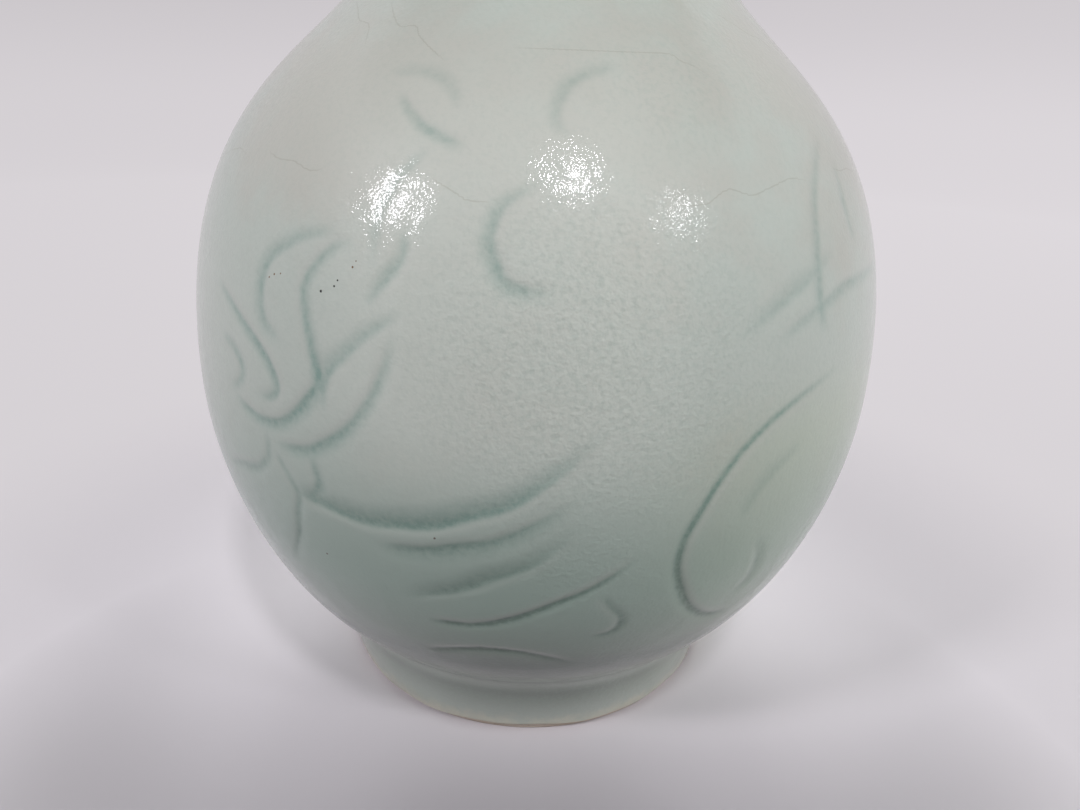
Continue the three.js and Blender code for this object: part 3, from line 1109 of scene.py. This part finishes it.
def pale_table():
    """Pale and matt, with painted light close to the pot and painted shadow towards the front, fading with
    distance to the even tone of a backdrop where it is looked at.
    """
    graph = Graph("pale_table")
    place = graph.place()
    axes = graph.axes(place)
    from_pot = graph.distance(place, (0, 0, 0))
    rays = graph.add("ShaderNodeLightPath").outputs
    seen = graph.math("MAXIMUM", rays["Is Camera Ray"], rays["Is Glossy Ray"])
    far = graph.times(graph.between(from_pot, *BACKDROP_REACH), seen)
    # Painted light on the table close to the pot
    colour = graph.mix(graph.between(from_pot, *PAINTED_LIGHT_REACH), FLOOR_COLOUR, PAINTED_LIGHT_NEAR_POT)
    # Painted shadow towards the front, and black where the backdrop's glow takes over
    dimmed = graph.math("MAXIMUM", far, painted_table_shadow(graph, axes))
    rising = graph.between(axes["Z"], *BACKDROP_RISE, *BACKDROP_RISE_TONES)
    across = graph.between(axes["X"], *BACKDROP_BREADTH, *BACKDROP_BREADTH_TONES)
    return graph.finish(
        base_color=graph.mix(dimmed, colour, BLACK_TABLE), roughness=0.75, specular_ior_level=0.2,
        emission_color=BACKDROP_COLOUR,
        emission_strength=graph.times(far, graph.times(rising, across)),
    )


def add_sheet(name, points, faces, material):
    """An open sheet that belongs to the stage."""
    mesh = bpy.data.meshes.new(name)
    mesh.from_pydata([Vector(point) * MM for point in points], [], faces)
    mesh.materials.append(material)
    sheet = bpy.data.objects.new(name, mesh)
    bpy.context.scene.collection.objects.link(sheet)
    return sheet


def add_surround():
    """Floor and cove as an open sheet, facing the pot."""
    cove = [
        (FLOOR_RADIUS + COVE_RADIUS * math.sin(turn), COVE_RADIUS - COVE_RADIUS * math.cos(turn))
        for turn in np.radians(np.arange(0, 91, COVE_STEP))
    ]
    outline = [*cove, (FLOOR_RADIUS + COVE_RADIUS, WALL_TOP)]
    angles = np.arange(SURROUND_COLUMNS) * 360 / SURROUND_COLUMNS
    points = np.concatenate([[(0, 0, 0)], *rings_of(outline, angles)])
    corner = 1 + np.arange(len(outline) * SURROUND_COLUMNS).reshape(-1, SURROUND_COLUMNS)
    after = np.roll(corner, -1, 1)
    faces = [(0, a, b) for a, b in zip(corner[0].tolist(), after[0].tolist())]
    faces += np.stack([corner[:-1], corner[1:], after[1:], after[:-1]], axis=-1).reshape(-1, 4).tolist()
    surround = add_sheet("surround", points, faces, pale_table())
    surround.data.polygons.foreach_set("use_smooth", [True] * len(faces))


# Dark cards out of sight, which shade the table in front of the pot, as corners in millimetres
CARD_COLOUR = (0.05, 0.05, 0.05, 1)
CARDS = {
    "card_body": [(-330, -360, 0), (220, -380, 0), (220, -420, 560), (-330, -400, 560)],
    "card_hands": [(-60, -215, 125), (60, -215, 125), (60, -245, 175), (-60, -245, 175)],
}


def add_cards():
    material = Graph("dark_card").finish(base_color=CARD_COLOUR, roughness=0.9)
    for name, corners in CARDS.items():
        card = add_sheet(name, corners, [(0, 1, 2, 3)], material)
        card.visible_camera = False


def turned_towards(a, b, degrees):
    """Two directions at right angles, both turned so that the first moves towards the second."""
    along, across = heading(degrees)
    return along * a + across * b, along * b - across * a


def add_camera():
    """The photo's viewpoint, close above the pot."""
    right, forward, up = np.eye(3)
    up, forward = turned_towards(up, forward, CAMERA_PITCH)
    forward, right = turned_towards(forward, right, CAMERA_YAW)
    right, up = turned_towards(right, up, CAMERA_ROLL)
    pose = np.eye(4)
    pose[:3] = np.stack([right, up, -forward, np.array(CAMERA_PLACE) * MM], axis=1)
    camera = bpy.data.objects.new("camera", bpy.data.cameras.new("camera"))
    camera.data.sensor_width = SENSOR_WIDTH
    camera.data.lens = FOCAL_PIXELS / PHOTO_WIDTH * SENSOR_WIDTH
    camera.data.clip_start = CLIP_START * MM
    camera.matrix_world = Matrix(pose.tolist())
    bpy.context.scene.collection.objects.link(camera)
    bpy.context.scene.camera = camera


def add_area(name, place, towards, size, radiance):
    """A rectangular lamp of that size in millimetres, with its places in metres."""
    light = bpy.data.lights.new(name, "AREA")
    light.shape = "RECTANGLE"
    light.size, light.size_y = (side * MM for side in size)
    light.energy = radiance * math.pi * light.size * light.size_y
    lamp = bpy.data.objects.new(name, light)
    lamp.location = place
    lamp.rotation_mode = "QUATERNION"
    lamp.rotation_quaternion = (Vector(place) - Vector(towards)).to_track_quat("Z", "Y")
    lamp.visible_camera = False
    bpy.context.scene.collection.objects.link(lamp)
    return lamp


# Soft lamps: azimuth from the front, elevation, side, radiance, and whether the glaze mirrors it
SOFT_LAMPS = [
    ("soft_back", 180, 30, 800, 3.7, True),
    ("soft_right", 72, 18, 800, 2.3, False),
]
SOFT_DISTANCE = 1200
SOFT_AIM = 100


def add_soft_lamps():
    aim = Vector((0, 0, SOFT_AIM)) * MM
    for name, azimuth, elevation, side, radiance, mirrored in SOFT_LAMPS:
        out, up = heading(elevation) * SOFT_DISTANCE * MM
        lamp = add_area(name, Vector(around(out, up, azimuth)) + aim, aim, (side, side), radiance)
        lamp.visible_glossy = mirrored


# Lamps by the places on the glaze where they are mirrored to the photo's viewpoint: angle and height
# of that place, size of the lamp, the radiance that the glaze mirrors, and more that only lights it
MIRRORED_LAMPS = [
    ("lamp_left", (-19, 129), (140, 150), 30, 18),
    ("lamp_middle", (4, 134), (75, 170), 51, 11),
    ("lamp_right", (18, 129), (75, 80), 27, 7),
]
LAMP_TINT = (1.0, 0.97, 1.02)
LAMP_DISTANCE = 900


def add_mirrored_lamps():
    eye = Vector(CAMERA_PLACE) * MM
    for name, (angle, height), size, radiance, unmirrored in MIRRORED_LAMPS:
        spot = Vector(on_glaze(angle, height))
        normal = Vector(around(*normal_at(length_at(height)), angle))
        sight = (eye - spot).normalized()
        mirrored = 2 * normal.dot(sight) * normal - sight
        place = spot + mirrored * LAMP_DISTANCE * MM
        seen = add_area(name, place, spot, size, radiance)
        soft = add_area(name + "_soft", place, spot, size, unmirrored)
        soft.visible_glossy = False
        for lamp in (seen, soft):
            lamp.data.color = LAMP_TINT


ROOM_COLOUR = (0.93, 0.93, 0.95, 1)
ROOM_STRENGTH = 0.03


def add_world():
    world = bpy.data.worlds.new("soft_room")
    bpy.context.scene.world = world
    world.use_nodes = True
    background = world.node_tree.nodes["Background"]
    background.inputs["Color"].default_value = ROOM_COLOUR
    background.inputs["Strength"].default_value = ROOM_STRENGTH


lining_material = plain_glaze()
add_piece(
    carved_body(), carved_glaze(), "celadon_glaze",
    "outer_glaze", "lower_body", "upper_body", "neck",
    "foot_seam_slip", "belly_seam_slip", "neck_seam_slip",
)
add_piece(lining(), lining_material, "celadon_lining", "inner_glaze")
add_piece(underside_glaze(), lining_material, "celadon_lining", "base_glaze")
add_piece(foot_ring(), bare_clay(), "foot_clay", "foot_ring")

add_surround()
add_camera()
add_world()
add_cards()
add_soft_lamps()
add_mirrored_lamps()

bpy.context.scene.view_settings.view_transform = "Standard"
